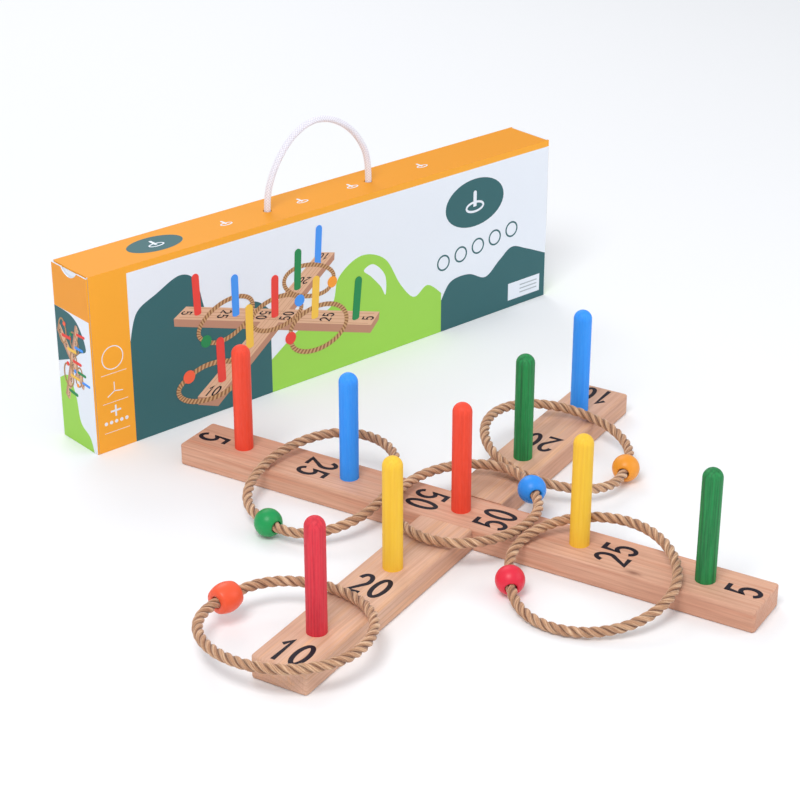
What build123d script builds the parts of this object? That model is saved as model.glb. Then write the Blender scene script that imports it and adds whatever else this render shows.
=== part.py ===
"""Ring toss set: a slotted wooden cross with nine pegs, five rope rings and a carry carton.

Units are millimetres. +Z is up, and the origin is on the floor under the centre of the cross.
The cross stands turned by YAW in front of the carton, whose long side runs along X.
"Cross frame" means the cross before that turn: its lower beam along X, its upper beam along Y.
"""
import os
from collections import namedtuple
from math import cos, pi, radians, sin, tan

from build123d import *

# ---- Wooden cross -------------------------------------------------------------------
YAW = 18.0                      # turn of the cross about Z, degrees
BEAM_LENGTH = 495.0
BEAM_WIDTH = 45.0
BEAM_HEIGHT = 18.0
CORNER_RADIUS = 2.5             # upright corners of a beam
EDGE_RADIUS = 1.5               # top and bottom edges of a beam
LAP_SIDE_GAP = 0.7              # play on each side of the lap joint
LAP_FACE_GAP = 0.1              # play above and below mid height

PEG_PITCH = 100.0
PEG_RADIUS = 7.5
PEG_RISE = 90.0                 # from the beam's top to the tip of the peg
PEG_FOOT_RADIUS = 7.0           # the foot is turned down, so the shank stands on the beam
PEG_DEPTH = 12.0                # length of the foot, glued inside the beam
PEG_DEPTH_AT_LAP = 7.0
GLUE_GAP = 0.05

# Peg name: (beam, place along the beam in pitches)
PEGS = {
    "peg_10_front_red": ("lower", -2),
    "peg_20_front_yellow": ("lower", -1),
    "peg_20_back_green": ("lower", 1),
    "peg_10_back_blue": ("lower", 2),
    "peg_5_left_red": ("upper", 2),
    "peg_25_left_blue": ("upper", 1),
    "peg_50_centre_red": ("upper", 0),
    "peg_25_right_yellow": ("upper", -1),
    "peg_5_right_green": ("upper", -2),
}

# ---- Rope rings -----------------------------------------------------------------------
ROPE_DIAMETER = 8.0
BEAD_DIAMETER = 22.0
BEAD_LENGTH = 19.0
BARREL_END_DIAMETER = 17.0      # end face of the barrel-shaped bead
BEAD_BORE = 8.8
ARC_SHARE = 0.45                # part of the shorter run that an arc may use

# Route of one ring lying flat, centred on 0, 0. Both rope ends butt inside the bead, at +X.
RING_ROUTE = [
    (57.5, 0.4), (58.0, 16.0), (50.5, 37.0), (33.0, 53.0), (9.0, 60.5), (-17.0, 58.0),
    (-39.5, 45.5), (-55.0, 25.0), (-60.0, 1.0), (-55.0, -24.0), (-41.0, -44.5),
    (-19.0, -57.5), (7.0, -60.5), (32.0, -53.0), (50.0, -37.5), (58.0, -16.0), (57.5, -0.4),
]

# Where each ring lies in the cross frame: centre, height of the rope's middle at that centre,
# bead direction in degrees, stretch along x and y, and slope of the ring along x and y.
Ring = namedtuple("Ring", "centre height bead_angle oval slope")
RINGS = {
    "coral": Ring((-209.0, 18.0), 22.6, 80.0, (0.94, 1.03), (0.0, -0.03)),
    "green": Ring((-22.0, 109.5), 22.6, 168.0, (1.08, 0.91), (0.180, 0.0)),
    "blue": Ring((-2.0, -5.0), 26.0, -42.0, (0.97, 0.90), (0.05, 0.0)),
    "amber": Ring((123.5, -18.0), 23.5, -77.0, (0.98, 0.99), (0.0, 0.212)),
    "red": Ring((-35.0, -127.5), 19.5, 121.0, (0.95, 1.04), (0.265, 0.0)),
}

# ---- Carry carton ---------------------------------------------------------------------
CARTON_LENGTH = 510.0
CARTON_DEPTH = 50.0
CARTON_HEIGHT = 156.0
BOARD = 1.5
FLAP_GAP = 0.3                  # play round each flap
CARTON_MIDDLE_X = 115.0
CARTON_FRONT_Y = 285.0
INNER_FLAP_LENGTH = 70.0
DUST_FLAP_WIDTH = 22.0
THUMB_NOTCH_RADIUS = 14.0
THUMB_NOTCH_DEPTH = 6.0

HANDLE_DIAMETER = 6.0
HANDLE_HOLE = 7.6
HANDLE_HALF_SPAN = 56.0
KNOT_RADIUS = 7.0

# Route of the handle: distance from the carton's middle, height above the top board's middle.
HANDLE_ROUTE = [
    (-56.0, -9.5), (-56.4, 8.0), (-53.0, 25.0), (-43.5, 43.5), (-28.5, 60.5), (-8.5, 70.0),
    (13.0, 68.5), (36.0, 55.0), (52.5, 33.0), (56.6, 12.0), (56.0, -9.5),
]

OUT = "parts"


def save(name, shape):
    export_step(shape, os.path.join(OUT, name + ".step"))


def in_cross(shape):
    """Turn a shape from the cross frame into the set's frame."""
    return Rot(0, 0, YAW) * shape


def block(low, high):
    """A box between two opposite corners."""
    size = [b - a for a, b in zip(low, high)]
    middle = [(a + b) / 2 for a, b in zip(low, high)]
    return Pos(*middle) * Box(*size)


# ---- Beams and pegs -------------------------------------------------------------------
def plain_beam():
    """A rounded plank along X, standing on z = 0."""
    plank = Pos(0, 0, BEAM_HEIGHT / 2) * Box(BEAM_LENGTH, BEAM_WIDTH, BEAM_HEIGHT)
    plank = fillet(plank.edges().filter_by(Axis.Z), CORNER_RADIUS)
    rims = plank.faces().sort_by(Axis.Z)[-1].edges() + plank.faces().sort_by(Axis.Z)[0].edges()
    return fillet(rims, EDGE_RADIUS)


def peg_place(beam, pitches):
    """Foot of a peg in the cross frame, on the beam's top."""
    along = pitches * PEG_PITCH
    return (along, 0, BEAM_HEIGHT) if beam == "lower" else (0, along, BEAM_HEIGHT)


def peg_depth(pitches):
    return PEG_DEPTH if pitches else PEG_DEPTH_AT_LAP


def peg(pitches):
    """A round-topped dowel that stands on z = 0, with a turned foot below it."""
    depth = peg_depth(pitches)
    straight = PEG_RISE - PEG_RADIUS
    foot = Pos(0, 0, -depth / 2) * Cylinder(PEG_FOOT_RADIUS, depth)
    shank = Pos(0, 0, straight / 2) * Cylinder(PEG_RADIUS, straight)
    return foot + shank + Pos(0, 0, straight) * Sphere(PEG_RADIUS)


def beam(which):
    """One beam of the cross, in the cross frame, with its lap slot and peg holes."""
    middle = BEAM_HEIGHT / 2
    half_slot = BEAM_WIDTH / 2 + LAP_SIDE_GAP
    plank = plain_beam()
    if which == "lower":
        slot = block((-half_slot, -BEAM_WIDTH, middle - LAP_FACE_GAP),
                     (half_slot, BEAM_WIDTH, 2 * BEAM_HEIGHT))
    else:
        plank = Rot(0, 0, 90) * plank
        slot = block((-BEAM_WIDTH, -half_slot, -BEAM_HEIGHT),
                     (BEAM_WIDTH, half_slot, middle + LAP_FACE_GAP))
    plank -= slot
    for on_beam, pitches in PEGS.values():
        if on_beam == which:
            depth = peg_depth(pitches)
            hole = Pos(0, 0, -depth / 2) * Cylinder(PEG_FOOT_RADIUS + GLUE_GAP, depth)
            plank -= Pos(*peg_place(which, pitches)) * hole
    return plank


def make_cross():
    for which in ("lower", "upper"):
        save(which + "_beam", in_cross(beam(which)))
    for name, (which, pitches) in PEGS.items():
        save(name, in_cross(Pos(*peg_place(which, pitches)) * peg(pitches)))


# ---- Cords ----------------------------------------------------------------------------
def arc_radii(points):
    """Radius for each corner of a route: as large as its two runs allow."""
    radii = []
    for before, corner, after in zip(points, points[1:], points[2:]):
        incoming, outgoing = corner - before, after - corner
        half_turn = radians(incoming.get_angle(outgoing)) / 2
        radii.append(ARC_SHARE * min(incoming.length, outgoing.length) / tan(half_turn))
    return radii


def tube(points, diameter, name):
    """A round cord along straight runs joined by tangent arcs."""
    radii = arc_radii(points)
    path = FilletPolyline(*points, radius=radii)
    start = Plane(origin=points[0], z_dir=points[1] - points[0])
    cord = sweep(start * Circle(diameter / 2), path=path)
    expected = path.length * pi * diameter ** 2 / 4
    print(f"{name}: length {path.length:.0f} mm, volume ratio {cord.volume / expected:.4f},",
          "radii", [round(r) for r in radii])
    return cord


# ---- Rope rings -------------------------------------------------------------------------
def ring_points(ring):
    """The route of a ring where it lies, in the cross frame."""
    turn = radians(ring.bead_angle)
    points = []
    for x, y in RING_ROUTE:
        dx = ring.oval[0] * (x * cos(turn) - y * sin(turn))
        dy = ring.oval[1] * (x * sin(turn) + y * cos(turn))
        z = ring.height + ring.slope[0] * dx + ring.slope[1] * dy
        points.append(Vector(ring.centre[0] + dx, ring.centre[1] + dy, z))
    return points


def round_bead():
    """A ball cut flat at both ends, bored along Z."""
    ball = Sphere(BEAD_DIAMETER / 2) & Cylinder(BEAD_DIAMETER, BEAD_LENGTH)
    return ball - Cylinder(BEAD_BORE / 2, 2 * BEAD_LENGTH)


def barrel_bead():
    """A barrel with a bulging side, bored along Z."""
    half, end, bore = BEAD_LENGTH / 2, BARREL_END_DIAMETER / 2, BEAD_BORE / 2
    outline = Polyline((end, half), (bore, half), (bore, -half), (end, -half))
    side = ThreePointArc((end, -half), (BEAD_DIAMETER / 2, 0), (end, half))
    return revolve(Plane.XZ * make_face([*outline.edges(), side.edge()]), Axis.Z)


def bead_at(points, shape):
    """Stand a bead where the two ends of a rope meet, along the rope."""
    middle = (points[0] + points[-1]) / 2
    return Plane(origin=middle, z_dir=points[1] - points[-2]) * shape


def make_rings():
    for colour, ring in RINGS.items():
        points = ring_points(ring)
        save(f"ring_{colour}_rope", in_cross(tube(points, ROPE_DIAMETER, "ring " + colour)))
        shape = barrel_bead() if colour == "coral" else round_bead()
        save(f"ring_{colour}_bead", in_cross(bead_at(points, shape)))


# ---- Carton -----------------------------------------------------------------------------
def in_carton(shape):
    """Move a shape from the carton's lower front left corner to its place in the set."""
    return Pos(CARTON_MIDDLE_X - CARTON_LENGTH / 2, CARTON_FRONT_Y, 0) * shape


def carton_panels():
    """The four long walls and the glued right end."""
    left = BOARD + FLAP_GAP
    right = CARTON_LENGTH - BOARD
    inner_y = (BOARD, CARTON_DEPTH - BOARD)
    inner_z = (BOARD, CARTON_HEIGHT - BOARD)
    top = block((left, inner_y[0], inner_z[1]), (right, inner_y[1], CARTON_HEIGHT))
    for side in (-1, 1):
        hole = Cylinder(HANDLE_HOLE / 2, 4 * BOARD)
        top -= Pos(CARTON_LENGTH / 2 + side * HANDLE_HALF_SPAN, CARTON_DEPTH / 2, CARTON_HEIGHT) * hole
    return {
        "carton_front": block((left, 0, 0), (right, BOARD, CARTON_HEIGHT)),
        "carton_back": block((left, inner_y[1], 0), (right, CARTON_DEPTH, CARTON_HEIGHT)),
        "carton_bottom": block((left, inner_y[0], 0), (right, inner_y[1], BOARD)),
        "carton_top": top,
        "carton_right_end": block((right, 0, 0), (CARTON_LENGTH, CARTON_DEPTH, CARTON_HEIGHT)),
    }


def carton_flaps():
    """The left end: an outer flap over a tucked inner flap over two dust flaps."""
    outer = block((0, 0, 0), (BOARD, CARTON_DEPTH, CARTON_HEIGHT - 1.0))
    notch_z = CARTON_HEIGHT - 1.0 - THUMB_NOTCH_DEPTH + THUMB_NOTCH_RADIUS
    notch = Rot(0, 90, 0) * Cylinder(THUMB_NOTCH_RADIUS, 4 * BOARD)
    outer -= Pos(0, CARTON_DEPTH / 2, notch_z) * notch

    side = BOARD + FLAP_GAP         # from an outer face to the flap inside it
    inner_top = CARTON_HEIGHT - side
    inner = block((side, side, inner_top - INNER_FLAP_LENGTH),
                  (side + BOARD, CARTON_DEPTH - side, inner_top))

    dust_x = 2 * side
    low, high = BOARD + 2 * FLAP_GAP, CARTON_HEIGHT - BOARD - 2 * FLAP_GAP
    dust_front = block((dust_x, side, low), (dust_x + BOARD, side + DUST_FLAP_WIDTH, high))
    dust_back = block((dust_x, CARTON_DEPTH - side - DUST_FLAP_WIDTH, low),
                      (dust_x + BOARD, CARTON_DEPTH - side, high))
    return {
        "end_outer_flap": outer,
        "end_inner_flap": inner,
        "end_dust_flap_front": dust_front,
        "end_dust_flap_back": dust_back,
    }


def handle():
    """The cord handle and the knots that hold it under the top board."""
    top = CARTON_HEIGHT - BOARD / 2
    points = [Vector(CARTON_LENGTH / 2 + x, CARTON_DEPTH / 2, top + z) for x, z in HANDLE_ROUTE]
    cord = tube(points, HANDLE_DIAMETER, "handle")
    knots = {}
    for name, end, neighbour in (("left", 0, 1), ("right", -1, -2)):
        ball = Sphere(KNOT_RADIUS)
        bore = Pos(0, 0, KNOT_RADIUS) * Cylinder(HANDLE_DIAMETER / 2 + GLUE_GAP, 2 * KNOT_RADIUS)
        place = Plane(origin=points[end], z_dir=points[neighbour] - points[end])
        knots[f"handle_knot_{name}"] = place * (ball - bore)
    return {"handle_cord": cord, **knots}


def make_carton():
    for name, shape in {**carton_panels(), **carton_flaps(), **handle()}.items():
        save(name, in_carton(shape))


os.makedirs("parts", exist_ok=True)
make_cross()
make_rings()
make_carton()
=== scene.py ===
"""Looks of the ring toss set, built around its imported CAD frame.

Everything is in metres in the set's own frame: +Z up, the origin on the floor under the centre
of the cross, the carton's long side along X. "Cross frame" means the frame before the cross is
turned about Z: its lower beam along X, its upper beam along Y.
"""
from collections import namedtuple
from functools import cache
from math import asin, atan2, copysign, cos, degrees, hypot, pi, radians, sin, tau

import bmesh
import bpy
import numpy as np
from mathutils import Matrix, Vector
from mathutils.geometry import tessellate_polygon


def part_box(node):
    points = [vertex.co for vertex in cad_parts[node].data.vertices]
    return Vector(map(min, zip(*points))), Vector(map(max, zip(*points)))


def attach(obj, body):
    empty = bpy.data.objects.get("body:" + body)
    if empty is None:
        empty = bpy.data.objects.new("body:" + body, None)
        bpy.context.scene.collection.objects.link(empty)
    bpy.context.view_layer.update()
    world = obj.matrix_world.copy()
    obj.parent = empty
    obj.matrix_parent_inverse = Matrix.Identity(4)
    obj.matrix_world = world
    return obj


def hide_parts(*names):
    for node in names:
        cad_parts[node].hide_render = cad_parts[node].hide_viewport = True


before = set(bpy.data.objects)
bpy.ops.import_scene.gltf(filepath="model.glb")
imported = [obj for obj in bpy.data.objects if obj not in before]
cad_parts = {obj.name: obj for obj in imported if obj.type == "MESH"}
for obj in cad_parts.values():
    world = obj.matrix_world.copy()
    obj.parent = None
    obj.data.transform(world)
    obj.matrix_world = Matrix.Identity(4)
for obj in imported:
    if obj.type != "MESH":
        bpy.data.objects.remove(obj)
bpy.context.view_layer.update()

MM = 0.001
rng = np.random.default_rng(11)

# ---- Places read from the frame ----


def middle_of(node):
    low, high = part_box(node)
    return (low + high) / 2


BACK_PEG = middle_of("peg_10_back_blue")
YAW = atan2(BACK_PEG.y, BACK_PEG.x)
PEG_PITCH = hypot(BACK_PEG.x, BACK_PEG.y) / 2
BEAM_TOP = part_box("upper_beam")[1].z
PEG_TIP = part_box("peg_10_back_blue")[1].z
PEG_RADIUS = (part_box("peg_10_back_blue")[1].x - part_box("peg_10_back_blue")[0].x) / 2
TURN = Matrix.Rotation(YAW, 3, "Z")     # from the cross frame to the set's frame


def half_size_of_beam():
    """Half the length and half the width of the lower beam, from its own corners."""
    corners = [TURN.transposed() @ v.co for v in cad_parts["lower_beam"].data.vertices]
    return max(v.x for v in corners), max(v.y for v in corners)


BEAM_HALF_LENGTH, BEAM_HALF_WIDTH = half_size_of_beam()


# ---- Camera ----
CAMERA_AZIMUTH = radians(-41.0)
CAMERA_ELEVATION = radians(26.0)
CAMERA_DISTANCE = 1.62
CAMERA_LENS = 92.0
CAMERA_TARGET = Vector((0.030, 0.105, 0.062))


def make_camera():
    data = bpy.data.cameras.new("camera")
    data.lens = CAMERA_LENS
    data.sensor_width = 36.0
    camera = bpy.data.objects.new("camera", data)
    bpy.context.scene.collection.objects.link(camera)
    back = Vector((
        sin(CAMERA_AZIMUTH) * cos(CAMERA_ELEVATION),
        -cos(CAMERA_AZIMUTH) * cos(CAMERA_ELEVATION),
        sin(CAMERA_ELEVATION),
    ))
    camera.location = CAMERA_TARGET + CAMERA_DISTANCE * back
    camera.rotation_euler = back.to_track_quat("Z", "Y").to_euler()
    bpy.context.scene.camera = camera


# ---- Mesh helpers ----
def add_mesh(name, points, faces, material, smooth=True):
    """A mesh object from points and faces, with one material."""
    mesh = bpy.data.meshes.new(name)
    mesh.from_pydata([tuple(p) for p in points], [], faces)
    mesh.validate()
    mesh.polygons.foreach_set("use_smooth", [smooth] * len(mesh.polygons))
    mesh.materials.append(material)
    made = bpy.data.objects.new(name, mesh)
    bpy.context.scene.collection.objects.link(made)
    return made


def grid_faces(rows, columns, first=0):
    """Quads of a tube: rows of points along it, columns of points round it, ends capped."""
    faces = []
    for i in range(rows - 1):
        for j in range(columns):
            k = (j + 1) % columns
            a, b = first + i * columns, first + (i + 1) * columns
            faces.append((a + j, a + k, b + k, b + j))
    faces.append(tuple(first + j for j in reversed(range(columns))))
    faces.append(tuple(first + (rows - 1) * columns + j for j in range(columns)))
    return faces


def lathe(profile, segments=48):
    """A closed profile of (radius, height) turned about Z: points and faces."""
    points, faces = [], []
    for radius, height in profile:
        for k in range(segments):
            points.append((radius * cos(tau * k / segments), radius * sin(tau * k / segments), height))
    count = len(profile)
    for i in range(count):
        for k in range(segments):
            a, b, n = i * segments, (i + 1) % count * segments, (k + 1) % segments
            faces.append((a + k, a + n, b + n, b + k))
    return points, faces


def set_attribute(made, name, values):
    """Store one grey value per vertex as a colour attribute."""
    layer = made.data.color_attributes.new(name, "FLOAT_COLOR", "POINT")
    values = np.clip(values, 0.0, 1.0)
    layer.data.foreach_set("color", np.stack([values] * 3 + [np.ones_like(values)], 1).ravel())


# ---- Material helpers ----
def linear(red, green, blue):
    """A display colour given in 0 to 255 as a linear colour."""
    def channel(value):
        value /= 255.0
        return value / 12.92 if value <= 0.04045 else ((value + 0.055) / 1.055) ** 2.4
    return (channel(red), channel(green), channel(blue), 1.0)


def new_material(name):
    """An empty material with its node tree and principled shader."""
    material = bpy.data.materials.new(name)
    material.use_nodes = True
    tree = material.node_tree
    return material, tree, tree.nodes["Principled BSDF"]


def node(tree, kind, inputs=None, **settings):
    """A shader node; an input takes a value or another node's output."""
    made = tree.nodes.new("ShaderNode" + kind)
    for key, value in settings.items():
        setattr(made, key, value)
    for key, value in (inputs or {}).items():
        if isinstance(value, bpy.types.NodeSocket):
            tree.links.new(value, made.inputs[key])
        else:
            made.inputs[key].default_value = value
    return made


def calc(tree, operation, first, second=0.0):
    return node(tree, "Math", {0: first, 1: second}, operation=operation).outputs[0]


def times(tree, first, second):
    return calc(tree, "MULTIPLY", first, second)


def mix(tree, factor, first, second, mode="MIX"):
    """Mix two colours."""
    made = node(tree, "MixRGB", {"Fac": factor, "Color1": first, "Color2": second}, blend_type=mode)
    return made.outputs["Color"]


def ramp(tree, factor, stops):
    """A grey ramp: stops are (position, grey)."""
    made = node(tree, "ValToRGB", {"Fac": factor})
    elements = made.color_ramp.elements
    while len(elements) < len(stops):
        elements.new(0.5)
    for element, (position, grey) in zip(elements, stops):
        element.position = position
        element.color = (grey, grey, grey, 1.0)
    return made.outputs["Color"]


def stretched(tree, turn, scale):
    """Object coordinates turned about Z and scaled."""
    coordinates = node(tree, "TexCoord").outputs["Object"]
    turned = node(tree, "Mapping", {"Vector": coordinates, "Rotation": (0, 0, -turn)})
    return node(tree, "Mapping", {"Vector": turned.outputs[0], "Scale": scale}).outputs[0]


def noise(tree, vector, scale, detail=3.0, roughness=0.5):
    inputs = {"Vector": vector, "Scale": scale, "Detail": detail, "Roughness": roughness}
    return node(tree, "TexNoise", inputs).outputs["Fac"]


def bump(tree, shader, height, distance, strength=1.0):
    made = node(tree, "Bump", {"Height": height, "Distance": distance, "Strength": strength})
    tree.links.new(made.outputs[0], shader.inputs["Normal"])


def feed(tree, shader, **values):
    """Set shader inputs, with underscores for spaces in their names."""
    for key, value in values.items():
        socket = shader.inputs[key.replace("_", " ")]
        if isinstance(value, bpy.types.NodeSocket):
            tree.links.new(value, socket)
        else:
            socket.default_value = value


# ---- Wood ----
Tones = namedtuple("Tones", "light dark streak grain")


def beam_wood(name, turn, pith, knots, tones):
    """Sanded bare wood: growth rings about a line along the beam, streaks, pores and small knots."""
    material, tree, shader = new_material(name)
    coarse = noise(tree, stretched(tree, turn, (3.0, 22.0, 22.0)), 1.0, 2.0)
    place = stretched(tree, turn, (1.0, 1.0, 1.0))
    parts = node(tree, "SeparateXYZ", {"Vector": place})
    wobble = times(tree, calc(tree, "SUBTRACT", coarse, 0.5), 0.022)
    across = calc(tree, "ADD", calc(tree, "SUBTRACT", parts.outputs["Y"], pith[0]), wobble)
    height = calc(tree, "SUBTRACT", parts.outputs["Z"], pith[1])
    spot = 0.0
    for along, side, size in knots:
        dx = times(tree, calc(tree, "SUBTRACT", parts.outputs["X"], along), 0.45)
        dy = calc(tree, "SUBTRACT", parts.outputs["Y"], side)
        square = calc(tree, "ADD", times(tree, dx, dx), times(tree, dy, dy))
        near = calc(tree, "EXPONENT", times(tree, square, -1.0 / (size * size)))
        spot = calc(tree, "ADD", spot, near)
    radius = calc(tree, "SQRT", calc(
        tree, "ADD", times(tree, across, across), times(tree, height, height)))
    radius = calc(tree, "ADD", radius, times(tree, spot, 0.004))
    ring = calc(tree, "FRACT", times(tree, radius, 260.0))
    ring = ramp(tree, ring, [(0.0, 0.15), (0.55, 0.35), (0.9, 1.0), (1.0, 0.15)])
    pores = noise(tree, stretched(tree, turn, (28.0, 900.0, 900.0)), 1.0, 4.0, 0.6)
    pores = ramp(tree, pores, [(0.42, 0.0), (0.68, 1.0)])
    patches = noise(tree, stretched(tree, turn, (4.0, 18.0, 18.0)), 1.0, 2.0)
    streaks = noise(tree, stretched(tree, turn, (7.0, 190.0, 190.0)), 1.0, 3.0, 0.6)
    colour = mix(tree, ramp(tree, patches, [(0.3, 0.0), (0.7, 1.0)]), tones.light, tones.dark)
    colour = mix(tree, ramp(tree, streaks, [(0.5, 0.0), (0.72, 0.75)]), colour, tones.streak)
    colour = mix(tree, times(tree, ring, 0.30), colour, tones.grain)
    colour = mix(tree, times(tree, pores, 0.24), colour, linear(150, 98, 74))
    colour = mix(tree, times(tree, spot, 0.75), colour, linear(118, 70, 50))
    feed(tree, shader, Base_Color=colour, Roughness=0.62, Specular_IOR_Level=0.3)
    bump(tree, shader, calc(tree, "ADD", pores, times(tree, ring, 0.6)), 0.00012, 0.6)
    return material


def stained_wood(name, colour, dark, grain):
    """A dowel with a matt stain that lets the upright grain show."""
    material, tree, shader = new_material(name)
    streaks = noise(tree, stretched(tree, 0.0, (620.0, 620.0, 16.0)), 1.0, 4.0, 0.6)
    flecks = noise(tree, stretched(tree, 0.0, (900.0, 900.0, 160.0)), 1.0, 3.0, 0.6)
    clouds = noise(tree, stretched(tree, 0.0, (60.0, 60.0, 22.0)), 1.0, 2.0)
    shade = ramp(tree, streaks, [(0.40, 0.0), (0.66, 1.0)])
    body = mix(tree, times(tree, shade, grain), colour, dark)
    body = mix(tree, times(tree, clouds, 0.5 * grain), body, dark)
    body = mix(tree, times(tree, flecks, 0.05), body, linear(245, 235, 225))
    rough = calc(tree, "ADD", 0.42, times(tree, streaks, 0.2))
    feed(tree, shader, Base_Color=body, Roughness=rough, Specular_IOR_Level=0.18)
    bump(tree, shader, calc(tree, "ADD", streaks, flecks), 0.00018, 0.5)
    return material


def bead_paint(name, colour):
    """Satin paint on a turned bead: faint brush variation and soft orange peel."""
    material, tree, shader = new_material(name)
    clouds = noise(tree, stretched(tree, 0.0, (120.0, 120.0, 120.0)), 1.0, 3.0)
    peel = noise(tree, stretched(tree, 0.0, (900.0, 900.0, 900.0)), 1.0, 2.0)
    dark = tuple(0.62 * c for c in colour[:3]) + (1.0,)
    body = mix(tree, times(tree, clouds, 0.35), colour, dark)
    feed(tree, shader, Base_Color=body, Roughness=0.4, Specular_IOR_Level=0.35,
         Coat_Weight=0.1, Coat_Roughness=0.25)
    bump(tree, shader, peel, 0.0001, 0.35)
    return material


def plain_coat(name, colour, roughness):
    """An even coat, such as print or ink, with fine grain in its tone and surface."""
    material, tree, shader = new_material(name)
    grain = noise(tree, stretched(tree, 0.0, (700.0, 700.0, 700.0)), 1.0, 3.0, 0.6)
    clouds = noise(tree, stretched(tree, 0.0, (14.0, 14.0, 14.0)), 1.0, 2.0)
    dark = tuple(0.82 * c for c in colour[:3]) + (1.0,)
    tone = times(tree, calc(tree, "ADD", grain, clouds), 0.16)
    feed(tree, shader, Base_Color=mix(tree, tone, colour, dark), Roughness=roughness,
         Specular_IOR_Level=0.16)
    bump(tree, shader, grain, 0.06 * MM, 0.5)
    return material


# ---- Cords ----
ROPE_DIAMETER = 8.0 * MM
ROPE_PITCH = 23.0 * MM
STRAND_RADIUS = 2.02 * MM
ROPE_SAMPLES = 460
STRAND_SIDES = 24
YARNS_IN_STRAND = 6
FIBRE_ROWS = 7                  # a fibre's tone changes over this many samples
STRAY_FIBRES = 150
STRAY_HALF_WIDTH = 0.07 * MM

# Route of one ring lying flat, centred on 0, 0. Both rope ends butt inside the bead, at +X.
RING_ROUTE = [
    (0.0575, 0.0004), (0.0580, 0.0160), (0.0505, 0.0370), (0.0330, 0.0530), (0.0090, 0.0605),
    (-0.0170, 0.0580), (-0.0395, 0.0455), (-0.0550, 0.0250), (-0.0600, 0.0010), (-0.0550, -0.0240),
    (-0.0410, -0.0445), (-0.0190, -0.0575), (0.0070, -0.0605), (0.0320, -0.0530),
    (0.0500, -0.0375), (0.0580, -0.0160), (0.0575, -0.0004),
]

# Where each ring lies in the cross frame: centre, height of the rope's middle at that centre,
# bead direction in degrees, stretch along x and y, and slope of the ring along x and y.
Ring = namedtuple("Ring", "centre height bead_angle oval slope")
RINGS = {
    "coral": Ring((-0.2090, 0.0180), 0.0226, 80.0, (0.94, 1.03), (0.0, -0.03)),
    "green": Ring((-0.0220, 0.1095), 0.0226, 168.0, (1.08, 0.91), (0.180, 0.0)),
    "blue": Ring((-0.0020, -0.0050), 0.0260, -42.0, (0.97, 0.90), (0.05, 0.0)),
    "amber": Ring((0.1235, -0.0180), 0.0235, -77.0, (0.98, 0.99), (0.0, 0.212)),
    "red": Ring((-0.0350, -0.1275), 0.0195, 121.0, (0.95, 1.04), (0.265, 0.0)),
}
BEAD_COLOURS = {
    "coral": linear(252, 94, 56),
    "green": linear(24, 158, 84),
    "blue": linear(46, 150, 250),
    "amber": linear(250, 160, 44),
    "red": linear(236, 42, 68),
}


def ring_points(ring):
    """The route of a ring where it lies, in the cross frame."""
    turn = radians(ring.bead_angle)
    points = []
    for x, y in RING_ROUTE:
        dx = ring.oval[0] * (x * cos(turn) - y * sin(turn))
        dy = ring.oval[1] * (x * sin(turn) + y * cos(turn))
        z = ring.height + ring.slope[0] * dx + ring.slope[1] * dy
        points.append(Vector((ring.centre[0] + dx, ring.centre[1] + dy, z)))
    return points


def spline_points(control, count):
    """Evenly spaced points on the smooth line that control points give."""
    curve = bpy.data.curves.new("route", "CURVE")
    curve.dimensions = "3D"
    curve.resolution_u = 32
    spline = curve.splines.new("NURBS")
    spline.points.add(len(control) - 1)
    for point, place in zip(spline.points, control):
        point.co = (*place, 1.0)
    spline.order_u = 3
    spline.use_endpoint_u = True
    holder = bpy.data.objects.new("route", curve)
    mesh = bpy.data.meshes.new_from_object(holder)
    line = np.array([v.co[:] for v in mesh.vertices])
    bpy.data.objects.remove(holder)
    bpy.data.meshes.remove(mesh)
    steps = np.r_[0.0, np.cumsum(np.linalg.norm(np.diff(line, axis=0), axis=1))]
    wanted = np.linspace(0.0, steps[-1], count)
    return np.stack([np.interp(wanted, steps, line[:, k]) for k in range(3)], 1), steps[-1]


def unit(vectors):
    return vectors / np.linalg.norm(vectors, axis=-1, keepdims=True)


def moving_frame(line):
    """Tangents and two steady cross directions along a line."""
    tangents = unit(np.gradient(line, axis=0))
    side = np.cross(tangents[0], (0.0, 0.0, 1.0))
    if np.linalg.norm(side) < 0.1:
        side = np.cross(tangents[0], (0.0, 1.0, 0.0))
    sides = [side / np.linalg.norm(side)]
    for tangent in tangents[1:]:
        side = sides[-1] - tangent * np.dot(sides[-1], tangent)
        sides.append(side / np.linalg.norm(side))
    sides = np.array(sides)
    return tangents, sides, np.cross(tangents, sides)


def strand_points(centre, outward, profile):
    """Points round a strand: profile(angle) gives its radius seen from its own centre."""
    tangents = unit(np.gradient(centre, axis=0))
    outward = unit(outward - tangents * np.sum(outward * tangents, axis=1, keepdims=True))
    across = np.cross(tangents, outward)
    angles = np.linspace(0.0, tau, STRAND_SIDES, endpoint=False)
    radii = profile(angles)
    ring = (np.cos(angles)[None, :, None] * outward[:, None, :]
            + np.sin(angles)[None, :, None] * across[:, None, :])
    return (centre[:, None, :] + radii[..., None] * ring).reshape(-1, 3)


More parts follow.
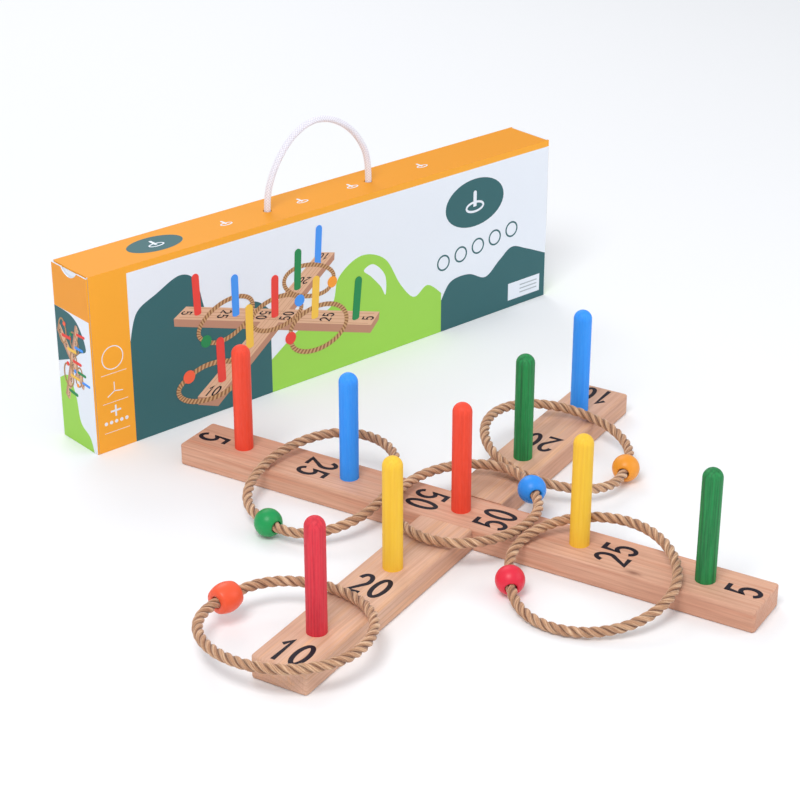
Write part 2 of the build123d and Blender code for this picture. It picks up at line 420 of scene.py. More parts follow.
def rope_mesh(name, control, material):
    """Three twisted strands of spun yarn, with a few stray fibres."""
    line, length = spline_points(control, ROPE_SAMPLES)
    _, sides, ups = moving_frame(line)
    along = np.linspace(0.0, length, ROPE_SAMPLES)
    helix = ROPE_DIAMETER / 2 - STRAND_RADIUS
    points, faces = [], []
    for strand in range(3):
        angle = tau * (along / ROPE_PITCH + strand / 3)
        outward = np.cos(angle)[:, None] * sides + np.sin(angle)[:, None] * ups
        swell = 1.0 + 0.035 * np.sin(tau * along / 0.031 + 2.1 * strand)
        twist = -tau * along / (0.55 * ROPE_PITCH)

        def profile(angles):
            yarn = np.abs(np.cos(0.5 * YARNS_IN_STRAND * (angles[None, :] + twist[:, None])))
            return STRAND_RADIUS * swell[:, None] * (0.91 + 0.12 * yarn)

        spots = strand_points(line + helix * outward, outward, profile)
        first = sum(len(p) for p in points)
        points.append(spots)
        faces += grid_faces(ROPE_SAMPLES, STRAND_SIDES, first)
    spots = np.concatenate(points)
    rows = np.tile(np.repeat(np.arange(ROPE_SAMPLES), STRAND_SIDES), 3)
    # relief runs from 0 in the grooves between the strands to 1 on their crowns; the jute material uses it
    # for painted shade in the grooves.
    depth = np.linalg.norm(spots - line[rows], axis=1) / (ROPE_DIAMETER / 2)
    shade = (depth - 0.55) / 0.5
    hairs, hair_faces = stray_fibres(line, sides, ups, len(spots))
    spots = np.concatenate([spots, hairs])
    rope = add_mesh(name, spots, faces + hair_faces, material)
    set_attribute(rope, "relief", np.r_[shade, np.full(len(hairs), 1.0)])
    set_attribute(rope, "fibre", np.r_[fibre_tones(), np.full(len(hairs), 0.8)])
    return rope, line, length


def fibre_tones():
    """A random tone per vertex of the strands, in streaks that run along each strand."""
    place = np.arange(ROPE_SAMPLES) / FIBRE_ROWS
    low = place.astype(int)
    share = (place - low)[:, None]
    strands = []
    for _ in range(3):
        tones = rng.random((low[-1] + 2, STRAND_SIDES))
        strands.append((tones[low] * (1 - share) + tones[low + 1] * share).ravel())
    return np.concatenate(strands)


def stray_fibres(line, sides, ups, first):
    """Short thin spikes of fibre that stand off the rope."""
    points, faces = [], []
    for _ in range(STRAY_FIBRES):
        row = int(rng.integers(len(line) // 20, len(line) * 19 // 20))
        angle = rng.uniform(0.0, tau)
        out = cos(angle) * sides[row] + sin(angle) * ups[row]
        tangent = line[row] - line[row - 1]
        tangent = tangent / np.linalg.norm(tangent)
        root = line[row] + out * 0.9 * ROPE_DIAMETER / 2
        lean = rng.uniform(-1.0, 1.0)
        tip = root + out * rng.uniform(0.6, 1.7) * MM + tangent * lean * 2.2 * MM
        tip[2] = max(tip[2], 0.2 * MM)
        side = np.cross(out, tangent) * STRAY_HALF_WIDTH
        base = first + len(points)
        points += [root + side, root - side, root - tangent * STRAY_HALF_WIDTH, tip]
        faces += [(base, base + 1, base + 3), (base + 1, base + 2, base + 3),
                  (base + 2, base, base + 3), (base, base + 2, base + 1)]
    return np.array(points), faces


def jute(name):
    """Spun plant fibre: light and dark streaks along the strands, and painted shade in the grooves between
    them.
    """
    material, tree, shader = new_material(name)
    relief = node(tree, "Attribute", attribute_name="relief").outputs["Fac"]
    streaks = noise(tree, stretched(tree, 0.0, (1500.0, 1500.0, 1500.0)), 1.0, 4.0, 0.65)
    clouds = noise(tree, stretched(tree, 0.0, (160.0, 160.0, 160.0)), 1.0, 2.0)
    fibre = node(tree, "Attribute", attribute_name="fibre").outputs["Fac"]
    colour = mix(tree, clouds, linear(206, 158, 122), linear(180, 130, 98))
    colour = mix(tree, ramp(tree, fibre, [(0.1, 0.8), (0.5, 0.0)]), colour, linear(146, 98, 72))
    colour = mix(tree, ramp(tree, fibre, [(0.5, 0.0), (0.95, 0.9)]), colour, linear(236, 202, 166))
    colour = mix(tree, ramp(tree, streaks, [(0.45, 0.0), (0.75, 0.6)]), colour, linear(230, 194, 158))
    # Painted shade: the grooves between the strands are darkened towards a deep brown.
    groove_shade = ramp(tree, relief, [(0.1, 1.0), (0.85, 0.0)])
    colour = mix(tree, times(tree, groove_shade, 0.9), colour, linear(96, 58, 44))
    feed(tree, shader, Base_Color=colour, Roughness=0.85, Specular_IOR_Level=0.2,
         Sheen_Weight=0.25, Sheen_Roughness=0.5)
    bump(tree, shader, streaks, 0.0003, 0.7)
    return material


BEAD_SIZE = namedtuple("BeadSize", "radius half_length bore")(11.0 * MM, 9.5 * MM, 4.4 * MM)
BARREL_END_RADIUS = 8.5 * MM


def bead_profile(barrel):
    """Outline of a bored bead, with softened rims at both mouths."""
    rim = 0.7 * MM
    half, bore = BEAD_SIZE.half_length, BEAD_SIZE.bore
    outline = [(bore, -half + rim), (bore + 0.3 * rim, -half + 0.3 * rim), (bore + rim, -half)]
    if barrel:
        swell = BEAD_SIZE.radius - BARREL_END_RADIUS
        for k in range(13):
            height = -half + rim + (half - rim) * k / 6
            outline.append((BARREL_END_RADIUS + swell * (1 - (height / half) ** 2), height))
    else:
        reach = (BEAD_SIZE.radius ** 2 - half ** 2) ** 0.5
        top = atan2(half - 0.3 * rim, reach + rim)
        for k in range(17):
            angle = -top + 2 * top * k / 16
            outline.append((BEAD_SIZE.radius * cos(angle), BEAD_SIZE.radius * sin(angle)))
    outline += [(bore + rim, half), (bore + 0.3 * rim, half - 0.3 * rim), (bore, half - rim)]
    return outline


def make_rings():
    fibre = jute("jute_rope")
    for colour, ring in RINGS.items():
        control = [TURN @ point for point in ring_points(ring)]
        rope, line, length = rope_mesh(f"{colour}_ring_rope", control, fibre)
        paint = bead_paint(f"bead_{colour}", BEAD_COLOURS[colour])
        spots, faces = lathe(bead_profile(colour == "coral"))
        bead = add_mesh(f"{colour}_ring_bead", spots, faces, paint)
        middle = (control[0] + control[-1]) / 2
        direction = control[1] - control[-2]
        place = Matrix.Translation(middle) @ direction.to_track_quat("Z", "Y").to_matrix().to_4x4()
        bead.data.transform(place)
        body = f"ring_{colour}"
        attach(rope, body)
        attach(bead, body)
        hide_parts(f"ring_{colour}_rope")
        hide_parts(f"ring_{colour}_bead")


# ---- Handle ----
HANDLE_DIAMETER = 6.0 * MM
HANDLE_ROUTE = [
    (-0.0560, -0.0095), (-0.0564, 0.0080), (-0.0530, 0.0250), (-0.0435, 0.0435),
    (-0.0285, 0.0605), (-0.0085, 0.0700), (0.0130, 0.0685), (0.0360, 0.0550),
    (0.0525, 0.0330), (0.0566, 0.0120), (0.0560, -0.0095),
]
HANDLE_SAMPLES = 340
BRAID_STRANDS = 6               # in each direction
BRAID_SIDES = 10                # points round each flat strand
BRAID_PITCH = 15.0 * MM
BRAID_RISE = 0.32 * MM          # how far a strand lifts as it passes over another
CORE_SINK = 0.3 * MM            # how far the solid core lies inside the strands
STRAND_HALF_THICKNESS = 0.50 * MM
STRAND_HALF_WIDTH = 0.95 * MM


def braid_mesh(name, control, material):
    """A tubular braid: two families of flat strands that pass over and under each other."""
    line, length = spline_points(control, HANDLE_SAMPLES)
    _, sides, ups = moving_frame(line)
    along = np.linspace(0.0, length, HANDLE_SAMPLES)
    radius = HANDLE_DIAMETER / 2 - STRAND_HALF_THICKNESS - BRAID_RISE
    angles = np.linspace(0.0, tau, BRAID_SIDES, endpoint=False)
    points, faces = [], []
    for hand in (1, -1):
        for strand in range(BRAID_STRANDS):
            angle = hand * tau * along / BRAID_PITCH + tau * strand / BRAID_STRANDS
            outward = np.cos(angle)[:, None] * sides + np.sin(angle)[:, None] * ups
            lift = hand * BRAID_RISE * np.cos(BRAID_STRANDS * tau * along / BRAID_PITCH)
            centre = line + (radius + lift)[:, None] * outward
            tangents = unit(np.gradient(centre, axis=0))
            across = np.cross(tangents, outward)
            spots = (centre[:, None, :]
                     + STRAND_HALF_THICKNESS * np.cos(angles)[None, :, None] * outward[:, None, :]
                     + STRAND_HALF_WIDTH * np.sin(angles)[None, :, None] * across[:, None, :])
            faces += grid_faces(HANDLE_SAMPLES, BRAID_SIDES, sum(len(p) for p in points))
            points.append(spots.reshape(-1, 3))
    core_ring = (np.cos(angles)[None, :, None] * sides[:, None, :]
                 + np.sin(angles)[None, :, None] * ups[:, None, :])
    faces += grid_faces(HANDLE_SAMPLES, BRAID_SIDES, sum(len(p) for p in points))
    points.append((line[:, None, :] + (radius - CORE_SINK) * core_ring).reshape(-1, 3))
    spots = np.concatenate(points)
    cord = add_mesh(name, spots, faces, material)
    rows = np.tile(np.repeat(np.arange(HANDLE_SAMPLES), BRAID_SIDES), 2 * BRAID_STRANDS + 1)
    outer = HANDLE_DIAMETER / 2
    depth = outer - np.linalg.norm(spots - line[rows], axis=1)
    # relief runs from 0 deep between the strands to 1 on their tops; the yarn material uses it for painted
    # shade between the strands.
    set_attribute(cord, "relief", 1 - depth / (0.25 * outer))
    return cord, line, length


def white_yarn(name):
    """White synthetic yarn, with painted shade between the strands of the braid."""
    material, tree, shader = new_material(name)
    threads = noise(tree, stretched(tree, 0.0, (1800.0, 1800.0, 1800.0)), 1.0, 3.0, 0.6)
    clouds = noise(tree, stretched(tree, 0.0, (120.0, 120.0, 120.0)), 1.0, 2.0)
    relief = node(tree, "Attribute", attribute_name="relief").outputs["Fac"]
    # Painted shade: the yarn is darkened to a lavender grey between the strands.
    groove_shade = ramp(tree, relief, [(0.2, 1.0), (0.95, 0.0)])
    colour = mix(tree, times(tree, clouds, 0.5), linear(254, 252, 255), linear(244, 242, 250))
    colour = mix(tree, groove_shade, colour, linear(204, 198, 214))
    feed(tree, shader, Base_Color=colour, Roughness=0.8, Sheen_Weight=0.15, Specular_IOR_Level=0.2)
    bump(tree, shader, threads, 0.0002, 0.6)
    return material


def make_handle():
    top = middle_of("carton_top")
    control = [Vector((top.x + x, top.y, top.z + z)) for x, z in HANDLE_ROUTE]
    yarn = white_yarn("white_cord")
    cord, line, length = braid_mesh("handle_braid", control, yarn)
    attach(cord, "handle")
    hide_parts("handle_cord")
    for knot in ("handle_knot_left", "handle_knot_right"):
        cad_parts[knot].data.materials.clear()
        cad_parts[knot].data.materials.append(yarn)


# ---- Beams and pegs ----
def dress(name, material):
    """Give a CAD node a material and smooth shading that keeps its sharp edges."""
    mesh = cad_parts[name].data
    mesh.materials.clear()
    mesh.materials.append(material)
    mesh.shade_smooth()
    mesh.set_sharp_from_angle(angle=radians(35.0))


def make_wood():
    pale = Tones(linear(230, 190, 164), linear(212, 164, 138), linear(236, 182, 136), linear(174, 120, 94))
    ruddy = Tones(linear(232, 184, 156), linear(208, 154, 128), linear(216, 150, 120), linear(168, 110, 90))
    dress("lower_beam", beam_wood(
        "lower_beam_wood", YAW, (0.012, -0.050), [(0.185, -0.016, 0.0022), (-0.150, 0.017, 0.0018)], pale))
    dress("upper_beam", beam_wood(
        "upper_beam_wood", YAW + pi / 2, (-0.030, -0.035), [(-0.152, 0.018, 0.0026)], ruddy))
    stains = {
        "front_red": stained_wood("stain_red", linear(230, 50, 68), linear(180, 26, 48), 0.6),
        "red": stained_wood("stain_orange_red", linear(246, 74, 46), linear(216, 52, 34), 0.35),
        "yellow": stained_wood("stain_yellow", linear(250, 204, 56), linear(234, 172, 40), 0.4),
        "green": stained_wood("stain_green", linear(18, 150, 76), linear(6, 98, 50), 0.9),
        "blue": stained_wood("stain_blue", linear(46, 156, 255), linear(26, 122, 240), 0.35),
    }
    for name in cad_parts:
        if name.startswith("peg_"):
            key = "front_red" if name.endswith("front_red") else name.split("_")[-1]
            dress(name, stains[key])


# ---- Score numbers ----
DIGIT_HEIGHT = 28.0 * MM
DIGIT_WIDTH = 13.0 * MM
DIGIT_GAP = 2.4 * MM
DIGIT_STROKE = 3.6 * MM
NUMBER_OFFSET = 30.0 * MM       # from a peg's middle outwards to the middle of its number
PAINT_RISE = 0.10 * MM


def arc(centre_x, centre_y, radius_x, radius_y, start, end, steps=14):
    """Points on part of an ellipse, angles in degrees."""
    angles = [radians(start + (end - start) * k / steps) for k in range(steps + 1)]
    return [(centre_x + radius_x * cos(a), centre_y + radius_y * sin(a)) for a in angles]


# Middle line of each digit in a cell 1 wide and 1 high.
DIGIT_LINES = {
    "0": arc(0.5, 0.5, 0.37, 0.43, 90, 450, 36),
    "1": [(0.20, 0.70), (0.56, 0.93), (0.56, 0.0)],
    "2": arc(0.5, 0.66, 0.36, 0.27, 165, -28, 20) + [(0.13, 0.07), (0.90, 0.07)],
    "5": [(0.86, 0.93), (0.24, 0.93), (0.17, 0.50)] + arc(0.47, 0.33, 0.38, 0.26, 128, -152, 24),
}


def ribbon(line, width):
    """Left and right edge of a stroke drawn along a line."""
    count = len(line)
    closed = hypot(line[0][0] - line[-1][0], line[0][1] - line[-1][1]) < 1e-9
    left, right = [], []
    for k in range(count):
        before = line[k - 1] if k else (line[-2] if closed else line[0])
        after = line[k + 1] if k < count - 1 else (line[1] if closed else line[-1])
        normals = []
        for start, end in ((before, line[k]), (line[k], after)):
            run = hypot(end[0] - start[0], end[1] - start[1])
            if run > 0:
                normals.append((-(end[1] - start[1]) / run, (end[0] - start[0]) / run))
        nx = sum(n[0] for n in normals)
        ny = sum(n[1] for n in normals)
        size = hypot(nx, ny)
        nx, ny = nx / size, ny / size
        stretch = min(1.0 / max(nx * normals[0][0] + ny * normals[0][1], 0.5), 1.6)
        reach = width / 2 * stretch
        left.append((line[k][0] + nx * reach, line[k][1] + ny * reach))
        right.append((line[k][0] - nx * reach, line[k][1] - ny * reach))
    return left, right


def number_lines(text):
    """Middle line of each digit of a number about 0, 0: read along +X, tops towards +Y."""
    total = len(text) * DIGIT_WIDTH + (len(text) - 1) * DIGIT_GAP
    lines = []
    for k, digit in enumerate(text):
        corner = k * (DIGIT_WIDTH + DIGIT_GAP) - total / 2
        lines.append([(corner + x * DIGIT_WIDTH, (y - 0.5) * DIGIT_HEIGHT) for x, y in DIGIT_LINES[digit]])
    return lines


def number_places():
    """Each score number: its digits, the foot of its peg in the cross frame and the way outwards."""
    places = []
    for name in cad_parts:
        if name.startswith("peg_"):
            foot = TURN.transposed() @ middle_of(name)
            foot.z = BEAM_TOP
            text = name.split("_")[1]
            if text == "50":
                ways = [Vector((0, 1, 0)), Vector((0, -1, 0))]
            elif abs(foot.x) < PEG_PITCH / 2:
                ways = [Vector((0, copysign(1, foot.y), 0))]
            else:
                ways = [Vector((copysign(1, foot.x), 0, 0))]
            places += [(text, foot, way) for way in ways]
    return places


def number_spot(foot, way, x, y):
    """A point of a number on the beam: it faces a thrower at the end of its arm, outside its peg."""
    right = Vector((-way.y, way.x, 0))
    return foot + way * (NUMBER_OFFSET - y) + right * x


def make_numbers():
    paint = plain_coat("number_paint", linear(34, 28, 38), 0.55)
    for index, (text, foot, way) in enumerate(number_places()):
        points, faces = [], []
        for line in number_lines(text):
            left, right = ribbon(line, DIGIT_STROKE)
            first = len(points)
            for a, b in zip(left, right):
                for (x, y), rise in ((a, PAINT_RISE), (b, PAINT_RISE), (b, -PAINT_RISE), (a, -PAINT_RISE)):
                    points.append(TURN @ (number_spot(foot, way, x, y) + Vector((0, 0, rise))))
            faces += grid_faces(len(line), 4, first)
        mark = add_mesh(f"number_{index}_{text}", points, faces, paint, smooth=False)
        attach(mark, "upper_cross" if way.y else "lower_cross")


# ---- Carton ----
PRINT_STEP = 0.03 * MM          # each layer of the print stands this far above the one below
PRINT_SINK = 0.05 * MM          # how far a printed plate reaches into its board
GROUND, SHAPES, MARKS, PICTURE = 1, 2, 3, 5

INKS = {
    "orange": (250, 172, 56),
    "deep_orange": (242, 158, 52),
    # The top and bottom boards print the orange darker and deeper than the sides do: painted shade that
    # evens out the stronger light and sheen on the top.
    "shaded_top_orange": (240, 156, 20),
    "dark_green": (58, 104, 108),
    "light_green": (160, 214, 86),
    "white": (234, 239, 247),
    "grey": (178, 186, 192),
    "wood_top": (226, 182, 150),
    "wood_side": (190, 140, 116),
    "wood_grain": (206, 156, 126),
    "rope": (204, 160, 116),
    "rope_shade": (150, 106, 72),
    "black": (36, 30, 38),
    "red": (236, 74, 66),
    "blue": (78, 154, 244),
    "yellow": (246, 198, 82),
    "green": (46, 140, 84),
    "amber": (248, 160, 60),
    "coral": (250, 104, 72),
}

# A face to print on: its upper left corner seen from outside, unit steps across and down, and size.
Face = namedtuple("Face", "corner across down width height")


@cache
def printed_board(colour):
    return plain_coat(f"print_{colour}", linear(*INKS[colour]), 0.42)


def smooth_outline(corners, steps=8):
    """A closed curve through the corners; it turns sharply at a corner that is listed twice."""
    points = []
    count = len(corners)
    for k in range(count):
        a, b, c, d = (corners[(k + n) % count] for n in (-1, 0, 1, 2))
        if b == c:
            continue
        for step in range(1 if a == b and c == d else steps):
            t = step / steps
            points.append(tuple(0.5 * (
                2 * b[i] + (c[i] - a[i]) * t + (2 * a[i] - 5 * b[i] + 4 * c[i] - d[i]) * t ** 2
                + (3 * b[i] - a[i] - 3 * c[i] + d[i]) * t ** 3) for i in (0, 1)))
    return points


def rectangle(left, top, right, bottom):
    return [(left, top), (right, top), (right, bottom), (left, bottom)]


def ellipse(x, y, across, down, steps=40):
    return arc(x, y, across, down, 0, 360, steps)[:-1]


class Print:
    """Printed shapes on one face, each a thin closed plate, joined into one object."""

    def __init__(self, name, face, body):
        self.name, self.face, self.body = name, face, body
        self.normal = face.down.cross(face.across)
        self.sheet = bmesh.new()
        self.colours = []

    def plate(self, colour, layer, outline):
        """One shape: its outline runs across and down the face, in metres."""
        if colour not in self.colours:
            self.colours.append(colour)
        face = self.face
        spots = [Vector((x, y, 0)) for x, y in outline]
        if sum(a.x * b.y - a.y * b.x for a, b in zip(spots, spots[1:] + spots[:1])) > 0:
            spots.reverse()
        flat = [face.corner + p.x * face.across + p.y * face.down for p in spots]
        upper = [self.sheet.verts.new(p + layer * PRINT_STEP * self.normal) for p in flat]
        lower = [self.sheet.verts.new(p - PRINT_SINK * self.normal) for p in flat]
        made = []
        for a, b, c in tessellate_polygon([spots]):
            if (spots[b] - spots[a]).cross(spots[c] - spots[a]).z > 0:
                b, c = c, b
            made += [self.sheet.faces.new((upper[a], upper[b], upper[c])),
                     self.sheet.faces.new((lower[a], lower[c], lower[b]))]
        for k in range(len(spots)):
            made.append(self.sheet.faces.new((upper[k - 1], lower[k - 1], lower[k], upper[k])))
        for side in made:
            side.material_index = self.colours.index(colour)

    def stroke(self, colour, layer, line, width):
        """A line of even width, in short plates."""
        left, right = ribbon(line, width)
        for quad in zip(left, left[1:], right[1:], right):
            self.plate(colour, layer, quad)

    def finish(self):
        mesh = bpy.data.meshes.new(self.name)
        self.sheet.to_mesh(mesh)
        self.sheet.free()
        for colour in self.colours:
            mesh.materials.append(printed_board(colour))
        made = bpy.data.objects.new(self.name, mesh)
        bpy.context.scene.collection.objects.link(made)
        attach(made, self.body)


# The picture on the carton shows this same set, seen from a place of its own.
PICTURE_AZIMUTH = radians(-59.0)
PICTURE_ELEVATION = radians(29.4)
PICTURE_ROLL = radians(1.6)
PICTURE_DISTANCE = 1.523
PICTURE_FOCUS = 1.507           # in widths of the face
PICTURE_SQUASH = 0.92           # the print is a little lower than the view it shows
PICTURE_AIM = Vector((0.0, 0.0, 0.060))
PICTURE_MIDDLE = (0.361, 0.435)  # where that point falls, in widths and heights of the face
PICTURE_BACK = Vector((sin(PICTURE_AZIMUTH) * cos(PICTURE_ELEVATION),
                       -cos(PICTURE_AZIMUTH) * cos(PICTURE_ELEVATION), sin(PICTURE_ELEVATION)))
PICTURE_RIGHT = Vector((cos(PICTURE_AZIMUTH), sin(PICTURE_AZIMUTH), 0.0))
ROPE_STRIPES = 96


def picture_spot(face, place):
    """Where a point of the cross frame falls in the printed picture, and the scale there."""
    offset = Vector(place) - PICTURE_AIM
    scale = PICTURE_FOCUS * face.width / (PICTURE_DISTANCE - offset.dot(PICTURE_BACK))
    x, y = offset.dot(PICTURE_RIGHT), offset.dot(PICTURE_BACK.cross(PICTURE_RIGHT))
    across = x * cos(PICTURE_ROLL) + y * sin(PICTURE_ROLL)
    rise = y * cos(PICTURE_ROLL) - x * sin(PICTURE_ROLL)
    return (PICTURE_MIDDLE[0] * face.width + across * scale,
            PICTURE_MIDDLE[1] * face.height - PICTURE_SQUASH * rise * scale), scale


def picture_layer(place):
    """Things that stand nearer to the viewer are printed over those behind."""
    return PICTURE + 7 + 12 * Vector(place).xy.dot(PICTURE_BACK.xy)


def picture_beams(page):
    """Each beam's visible long side and end, then its top with a few grain lines and the numbers."""
    length, width = BEAM_HALF_LENGTH, BEAM_HALF_WIDTH
    for level, swapped in enumerate((False, True)):
        def spot(along, side, z=BEAM_TOP):
            return picture_spot(page.face, (side, along, z) if swapped else (along, side, z))[0]

        for start, end in ((-length, -width), (width, length)):
            page.plate("wood_side", PICTURE, [spot(start, -width), spot(end, -width),
                                              spot(end, -width, 0), spot(start, -width, 0)])
        page.plate("wood_side", PICTURE, [spot(-length, -width), spot(-length, width),
                                          spot(-length, width, 0), spot(-length, -width, 0)])
        page.plate("wood_top", PICTURE + 0.5 + level / 4, [
            spot(-length, -width), spot(length, -width), spot(length, width), spot(-length, width)])
        for side, bow in ((-0.7, 0.10), (-0.25, -0.12), (0.2, 0.08), (0.72, -0.06)):
            line = [spot(along * length, (side + bow * cos(2.2 * along + side)) * width)
                    for along in np.linspace(-0.96, 0.96, 9)]
            page.stroke("wood_grain", PICTURE + 1 + level / 4, line, 0.0011 * page.face.width)
    for text, foot, way in number_places():
        for line in number_lines(text):
            left, right = ribbon(line, DIGIT_STROKE)
            for quad in zip(left, left[1:], right[1:], right):
                page.plate("black", PICTURE + 2, [
                    picture_spot(page.face, number_spot(foot, way, x, y))[0] for x, y in quad])


def picture_rings(page):
    for colour, ring in RINGS.items():
        line, _ = spline_points(ring_points(ring), ROPE_STRIPES)
        spots = [picture_spot(page.face, point) for point in line]
        scale = sum(scale for _, scale in spots) / len(spots)
        left, right = ribbon([spot for spot, _ in spots], ROPE_DIAMETER * scale)
        for k in range(ROPE_STRIPES - 2):
            page.plate(("rope", "rope_shade")[k % 2], picture_layer(line[k]),
                       [left[k], left[k + 1], right[k + 2], right[k + 1]])
        (x, y), scale = picture_spot(page.face, line[0])
        size = BEAD_SIZE.radius * scale
        page.plate(colour, picture_layer(line[0]) + 1, ellipse(x, y, size, size, 20))


def picture_pegs(page):
    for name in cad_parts:
        if name.startswith("peg_"):
            place = TURN.transposed() @ middle_of(name)
            foot, scale = picture_spot(page.face, (place.x, place.y, BEAM_TOP))
            tip, _ = picture_spot(page.face, (place.x, place.y, PEG_TIP - PEG_RADIUS))
            lean = degrees(atan2(tip[1] - foot[1], tip[0] - foot[0]))
            size = PEG_RADIUS * scale
            outline = arc(*tip, size, size, lean - 90, lean + 90)
            outline += arc(*foot, size, size * sin(PICTURE_ELEVATION), lean + 90, lean + 270)
            page.plate(name.split("_")[-1], picture_layer(place), outline)


def print_picture(page):
    picture_beams(page)
    picture_rings(page)
    picture_pegs(page)


def print_pictogram(page, colour, x, y, size):
    """A plain mark in the place of a name: a peg standing in a ring."""
    page.stroke(colour, MARKS, arc(x, y + 0.30 * size, 0.78 * size, 0.34 * size, 0, 360, 40), 0.16 * size)
    peg = arc(x, y - 0.72 * size, 0.15 * size, 0.15 * size, 180, 360, 10)
    foot = y + 0.28 * size
    page.plate(colour, MARKS + 1, peg + [(x + 0.15 * size, foot), (x - 0.15 * size, foot)])


def print_emblem(page, x, y, across, down):
    page.plate("dark_green", SHAPES, ellipse(x, y, across, down))
    print_pictogram(page, "white", x, y, 0.58 * down)


# Outlines of the hills on a long side, in widths and heights of the face.
BAND = 0.071
LEFT_HILL = [
    (BAND, 1), (BAND, 1), (BAND, 0.42), (BAND, 0.42), (0.086, 0.27), (0.125, 0.20), (0.172, 0.138),
    (0.203, 0.20), (0.222, 0.40), (0.262, 0.50), (0.315, 0.42), (0.351, 0.50), (0.351, 0.50),
    (0.351, 1), (0.351, 1),
]
MIDDLE_HILL = [
    (0.351, 1), (0.351, 1), (0.351, 0.80), (0.351, 0.80), (0.42, 0.66), (0.482, 0.60), (0.500, 0.44),
    (0.550, 0.355), (0.604, 0.42), (0.640, 0.61), (0.672, 0.716), (0.704, 0.67), (0.737, 0.75),
    (0.737, 0.75), (0.737, 1), (0.737, 1),
]
RIGHT_HILL = [
    (0.737, 1), (0.737, 1), (0.737, 0.80), (0.737, 0.80), (0.760, 0.70), (0.804, 0.69), (0.846, 0.745),
    (0.880, 0.67), (0.912, 0.608), (0.950, 0.65), (0.999, 0.72), (0.999, 0.72), (0.999, 1), (0.999, 1),
]
HILL_GAP = [(0.556, 0.45), (0.578, 0.43), (0.604, 0.52), (0.605, 0.64), (0.594, 0.58), (0.572, 0.50)]


def print_band(page):
    """Small white marks on the orange band: a ring, the three sizes and the number of pieces."""
    width, height = page.face.width, page.face.height
    middle = 0.5 * BAND * width
    line = 0.8 * MM
    page.stroke("white", MARKS, arc(middle, 0.475 * height, 10 * MM, 10 * MM, 0, 360, 40), line)
    for down in (0.563 * height, 0.726 * height, 0.895 * height):
        page.stroke("white", MARKS, [(0.012 * width, down), (0.060 * width, down)], line / 2)
    corner = (middle, 0.665 * height)
    for way in (-90, 10, 150):
        end = (corner[0] + 8 * MM * cos(radians(way)), corner[1] + 8 * MM * sin(radians(way)))
        page.stroke("white", MARKS, [corner, end], line)
    for step in (-2, -1, 0, 1, 2):
        dot = ellipse(middle + step * 5 * MM, 0.84 * height, 1.6 * MM, 1.6 * MM, 16)
        page.plate("white", MARKS, dot)
    down, reach = 0.778 * height, 5 * MM
    page.stroke("white", MARKS, [(middle - reach, down), (middle + reach, down)], 2 * line)
    page.stroke("white", MARKS + 1, [(middle, down - reach), (middle, down + reach)], 2 * line)


def print_long_side(page):
    width, height = page.face.width, page.face.height

    def scaled(outline):
        return [(x * width, y * height) for x, y in outline]

    page.plate("orange", GROUND, scaled(rectangle(0, 0, BAND, 1)))
    page.plate("orange", GROUND, scaled(rectangle(BAND, 0, 1, 0.038)))
    page.plate("dark_green", SHAPES, scaled(smooth_outline(LEFT_HILL)))
    page.plate("light_green", SHAPES, scaled(smooth_outline(MIDDLE_HILL)))
    page.plate("dark_green", SHAPES, scaled(smooth_outline(RIGHT_HILL)))
    page.plate("white", MARKS, scaled(smooth_outline(HILL_GAP)))
    page.plate("white", MARKS, scaled(rectangle(0.905, 0.845, 0.986, 0.955)))
    for top in (0.872, 0.896, 0.920):
        page.plate("grey", MARKS + 1, scaled(rectangle(0.935, top, 0.979, top + 0.008)))
    for step in range(5):
        centre = ((0.742 + 0.042 * step) * width, (0.565 - 0.018 * step) * height)
        page.stroke("dark_green", MARKS, arc(*centre, 7 * MM, 7 * MM, 0, 360, 32), 1.6 * MM)
    print_band(page)
    print_emblem(page, 0.817 * width, 0.25 * height, 36 * MM, 23 * MM)
    print_picture(page)
    page.finish()


def print_end(page, head):
    """A narrow end: an orange head, cut out as its board is, over two soft hills."""
    width, height = page.face.width, page.face.height

    def scaled(outline):
        return [(x * width, y * height) for x, y in outline]

    page.plate("deep_orange", GROUND, head + [(width, 0.24 * height), (0, 0.24 * height)])
    page.plate("dark_green", SHAPES, scaled(smooth_outline([
        (0, 0.24), (0, 0.24), (0.45, 0.25), (0.70, 0.30), (0.86, 0.41), (0.66, 0.45), (0.45, 0.50),
        (0, 0.56), (0, 0.56)])))
    page.plate("light_green", SHAPES, scaled(smooth_outline([
        (0, 1), (0, 1), (0, 0.66), (0, 0.66), (0.28, 0.62), (0.46, 0.72), (0.55, 0.86), (0.80, 0.92),
        (0.9, 1), (0.9, 1)])))


THUMB_NOTCH_RADIUS = 14.0 * MM
THUMB_NOTCH_DEPTH = 6.0 * MM
END_PICTURE_WIDTH = 165.0 * MM


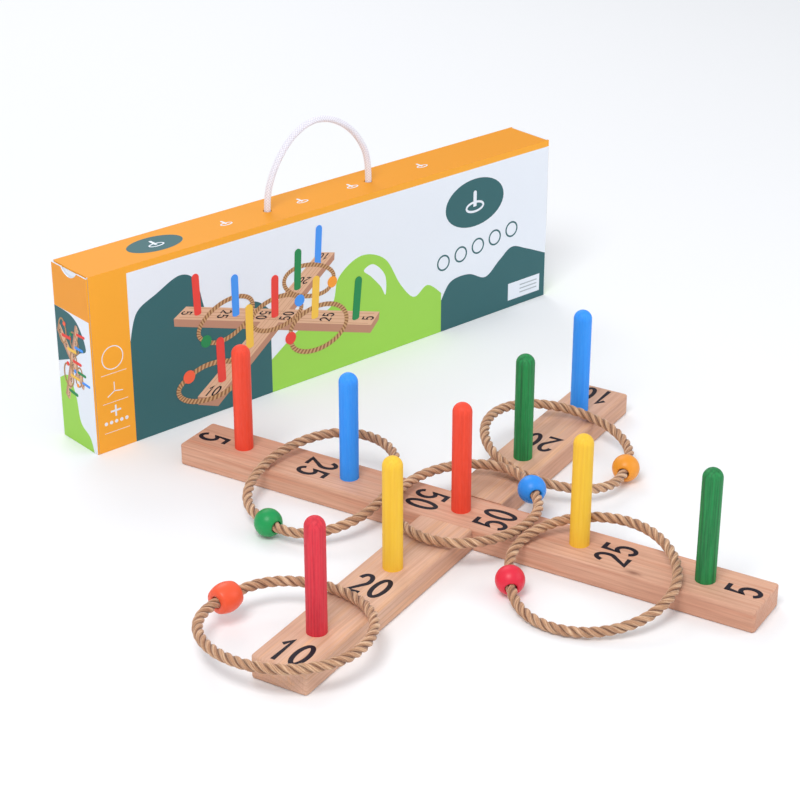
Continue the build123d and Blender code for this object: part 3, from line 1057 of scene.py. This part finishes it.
def make_carton():
    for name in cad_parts:
        if name.startswith(("carton_", "end_")):
            # The top and bottom boards take the darker orange: painted shade against the top's stronger
            # light.
            dress(name, printed_board("shaded_top_orange" if name in ("carton_top", "carton_bottom") else "white"))
    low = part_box("carton_front")[0]
    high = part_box("carton_back")[1]
    flap_low, flap_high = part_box("end_outer_flap")
    high.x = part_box("carton_right_end")[1].x
    x, y, z = Vector((1, 0, 0)), Vector((0, 1, 0)), Vector((0, 0, 1))
    length, depth, height = high.x - low.x, high.y - low.y, high.z - low.z

    front = Face(Vector((low.x, low.y, high.z)), x, -z, length, height)
    back = Face(Vector((high.x, high.y, high.z)), -x, -z, length, height)
    print_long_side(Print("print_front", front, "carton"))
    print_long_side(Print("print_back", back, "carton"))

    top = Print("print_top", Face(Vector((low.x, high.y, high.z)), x, -y, length, depth), "carton")
    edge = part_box("carton_bottom")[1].z
    # The darker orange on the top: painted shade against the top's stronger light and sheen.
    top.plate("shaded_top_orange", GROUND, rectangle(0, 0, length, edge))
    top.plate("shaded_top_orange", GROUND, rectangle(0, depth - edge, length, depth))
    print_emblem(top, 0.16 * length, 0.5 * depth, 26 * MM, 15 * MM)
    for share in (0.30, 0.46, 0.57, 0.73):
        print_pictogram(top, "white", share * length, 0.5 * depth, 7 * MM)
    top.finish()

    left_end = Print("print_left_end", Face(
        Vector((flap_low.x, flap_high.y, flap_high.z)), -y, -z, depth, flap_high.z), "outer_flap")
    notch_rise = THUMB_NOTCH_RADIUS - THUMB_NOTCH_DEPTH
    notch = degrees(asin(notch_rise / THUMB_NOTCH_RADIUS))
    cut = arc(depth / 2, -notch_rise, THUMB_NOTCH_RADIUS, THUMB_NOTCH_RADIUS, 180 - notch, notch)
    print_end(left_end, [(0, 0)] + cut + [(depth, 0)])
    left_end.finish()
    picture = Face(Vector((flap_low.x, flap_low.y, 0.87 * flap_high.z)), -z, y, END_PICTURE_WIDTH, depth)
    small = Print("print_left_end_picture", picture, "outer_flap")
    print_picture(small)
    small.finish()

    thickness = flap_high.x - flap_low.x
    for side, edge_face in (
        ("front", Face(Vector((flap_low.x, flap_low.y, flap_high.z)), x, -z, thickness, flap_high.z)),
        ("back", Face(Vector((flap_high.x, flap_high.y, flap_high.z)), -x, -z, thickness, flap_high.z)),
    ):
        rim = Print(f"print_flap_edge_{side}", edge_face, "outer_flap")
        rim.plate("orange", GROUND, rectangle(0, 0, thickness, flap_high.z))
        rim.finish()

    far_end = Face(Vector((high.x, low.y, high.z)), y, -z, depth, height)
    right_end = Print("print_right_end", far_end, "carton")
    print_end(right_end, [(0, 0), (depth, 0)])
    right_end.finish()


# ---- Stage ----
FLOOR_HALF_SIZE = 20.0
FLOOR_DROP = 0.2 * MM           # keeps the floor clear of the undersides
DAYLIGHT = 0.64


def make_stage():
    coat, tree, shader = new_material("pale_floor")
    feed(tree, shader, Base_Color=(0.92, 0.92, 0.93, 1.0), Roughness=0.9)
    corners = [(x * FLOOR_HALF_SIZE, y * FLOOR_HALF_SIZE, 0) for x, y in rectangle(-1, -1, 1, 1)]
    floor = add_mesh("floor", corners, [(0, 1, 2, 3)], coat, smooth=False)
    floor.location.z = -FLOOR_DROP
    world = bpy.data.worlds.new("studio")
    world.use_nodes = True
    sky = world.node_tree.nodes["Background"].inputs
    sky["Color"].default_value = (0.93, 0.96, 1.0, 1.0)
    sky["Strength"].default_value = DAYLIGHT
    bpy.context.scene.world = world
    for name, place, power, width in (
        ("key", (-1.1, -0.6, 1.9), 25.0, 0.9),
        ("fill", (1.4, -1.5, 1.1), 9.0, 1.4),
        ("rim", (0.7, 1.9, 1.6), 12.0, 1.2),
    ):
        light = bpy.data.lights.new(name, "AREA")
        light.energy = power
        light.size = width
        lamp = bpy.data.objects.new(name, light)
        lamp.location = place
        lamp.rotation_euler = (Vector(place) - CAMERA_TARGET).to_track_quat("Z", "Y").to_euler()
        bpy.context.scene.collection.objects.link(lamp)
    bpy.context.scene.view_settings.view_transform = "Standard"


make_camera()
make_rings()
make_handle()
make_wood()
make_numbers()
make_carton()
make_stage()
